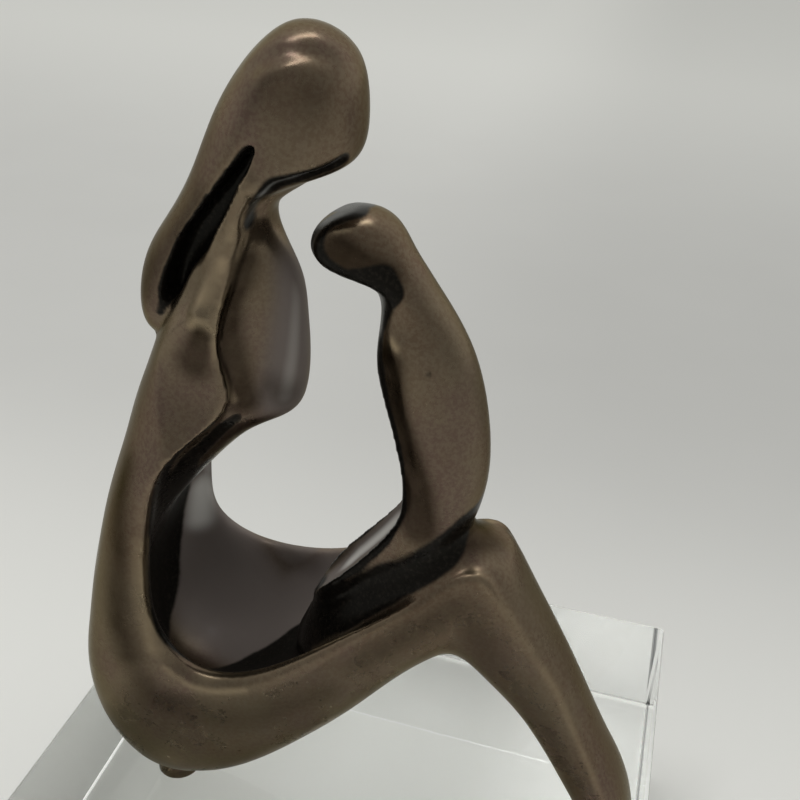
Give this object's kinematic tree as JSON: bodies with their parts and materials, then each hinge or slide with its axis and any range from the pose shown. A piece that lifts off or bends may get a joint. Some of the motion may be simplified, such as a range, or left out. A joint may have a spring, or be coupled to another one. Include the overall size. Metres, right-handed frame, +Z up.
{
  "type": "mother and child table sculpture",
  "caption": "Abstract cast bronze of a seated mother with her child on her knees, on a clear acrylic block, for a shelf or table.",
  "frame": {"origin": "centre of the acrylic block's underside", "axes": "+Z up, +X the way the mother faces, +Y to her left"},
  "size_m": [0.1224, 0.15, 0.199],
  "materials": {
    "bronze_patina": "polished olive-brown patina, near black in the hollows",
    "clear_acrylic": "clear, polished edges"
  },
  "bodies": {
    "root": {"bronze_figure": "bronze_patina", "acrylic_base": "clear_acrylic"}
  },
  "joints": []
}
